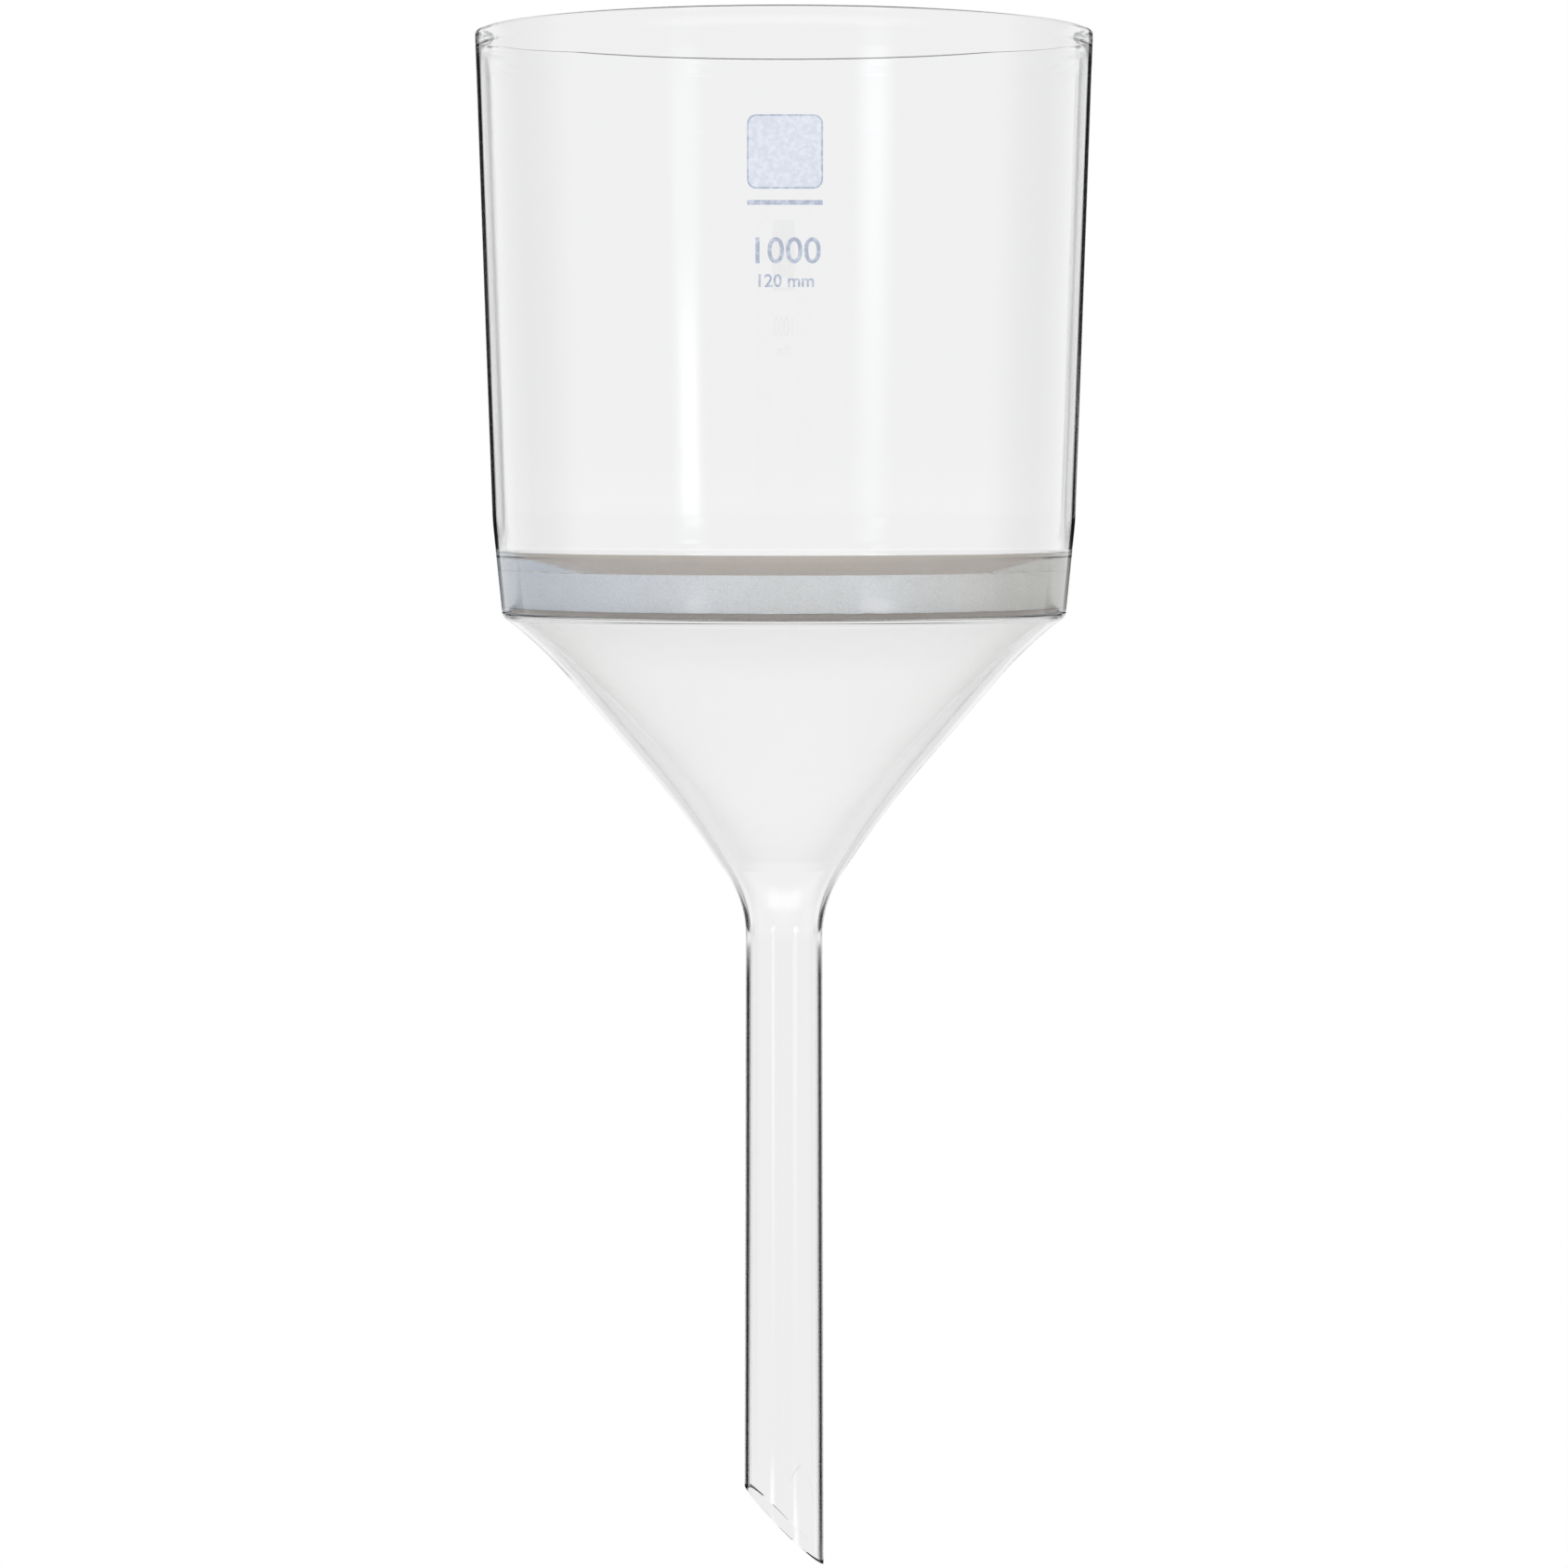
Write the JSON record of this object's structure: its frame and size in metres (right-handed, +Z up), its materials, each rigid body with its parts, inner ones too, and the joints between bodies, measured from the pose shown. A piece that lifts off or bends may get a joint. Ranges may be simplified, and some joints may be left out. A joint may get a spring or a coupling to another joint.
{
  "type": "filter funnel",
  "caption": "Laboratory glass filter funnel: tapered bowl with a sintered filter disc fused across its foot, a cone and a long stem with a bevelled tip.",
  "frame": {"origin": "on the axis at the neck, where the cone meets the stem", "axes": "+Z up the funnel's axis, from the stem to the rim; +X towards the long side of the stem's bevel"},
  "size_m": [0.1354, 0.1354, 0.34],
  "materials": {
    "clear_glass": "clear polished borosilicate glass",
    "sintered_glass": "matt porous sintered glass, warm white",
    "enamel": "matt pale blue-grey fired enamel print"
  },
  "bodies": {
    "root": {"bowl": "clear_glass", "filter_disc": "sintered_glass", "cone": "clear_glass", "stem": "clear_glass"}
  },
  "joints": []
}
